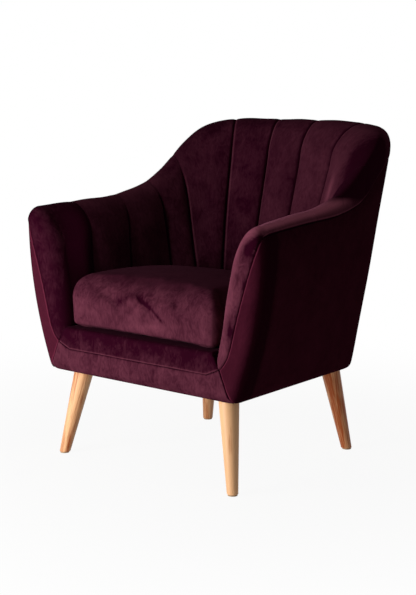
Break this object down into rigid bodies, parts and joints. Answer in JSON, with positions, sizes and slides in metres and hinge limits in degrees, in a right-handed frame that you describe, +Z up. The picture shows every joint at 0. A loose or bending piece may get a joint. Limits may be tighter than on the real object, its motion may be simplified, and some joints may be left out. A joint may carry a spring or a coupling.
{
  "type": "channel back armchair",
  "caption": "Upholstered barrel armchair with vertical channels inside the arms and back, a loose seat cushion and splayed round timber legs.",
  "frame": {"origin": "on the floor, under the middle of the chair's overall box, on its plane of symmetry", "axes": "+X to the right as seen from the front, +Y towards the back, -Y to the front, +Z up"},
  "size_m": [0.739, 0.6323, 0.7949],
  "materials": {
    "velvet": "short-pile plum velvet over foam",
    "velvet_cover": "short-pile plum velvet over thin wadding",
    "deck_cloth": "plain woven deck cloth over a felted pad",
    "dust_cloth": "black non-woven cloth",
    "webbing": "elastic woven webbing",
    "leg_timber": "light honey timber, satin lacquer",
    "frame_timber": "sawn hardwood, unfinished",
    "zinc_steel": "zinc plated",
    "glide_plastic": "moulded nylon, beige, half matt"
  },
  "bodies": {
    "chair": {"front_rail": "frame_timber", "rear_rail": "frame_timber", "side_rail_left": "frame_timber", "side_rail_right": "frame_timber", "corner_blocks": "frame_timber", "arm_post_left": "frame_timber", "arm_post_right": "frame_timber", "arm_top_rail_left": "frame_timber", "arm_top_rail_right": "frame_timber", "arm_lower_rail_left": "frame_timber", "arm_lower_rail_right": "frame_timber", "back_post_left": "frame_timber", "back_post_right": "frame_timber", "back_top_rail": "frame_timber", "back_lower_rail": "frame_timber", "seat_webbing_long": "webbing", "seat_webbing_cross": "webbing", "back_webbing": "webbing", "seat_deck": "deck_cloth", "front_rail_cover": "velvet", "front_border_pad": "velvet", "back_channel_left": "velvet", "back_channel_centre": "velvet", "back_channel_right": "velvet", "corner_channel_left": "velvet", "corner_channel_right": "velvet", "arm_channel_rear_left": "velvet", "arm_channel_rear_right": "velvet", "arm_channel_middle_left": "velvet", "arm_channel_middle_right": "velvet", "arm_channel_front_left": "velvet", "arm_channel_front_right": "velvet", "arm_wrap_left": "velvet", "arm_wrap_right": "velvet", "outside_arm_left": "velvet_cover", "outside_arm_right": "velvet_cover", "outside_back": "velvet_cover", "dust_cover": "dust_cloth", "leg_front_left": "leg_timber", "leg_front_right": "leg_timber", "leg_rear_left": "leg_timber", "leg_rear_right": "leg_timber", "hanger_bolts": "zinc_steel", "tee_nuts": "zinc_steel", "foot_glides": "glide_plastic"},
    "cushion": {"seat_cushion": "velvet"}
  },
  "joints": [
    {"name": "cushion_lift", "type": "slide", "parent": "chair", "child": "cushion", "axis": [0, 0, 1], "range_m": [0, 0.45]}
  ]
}
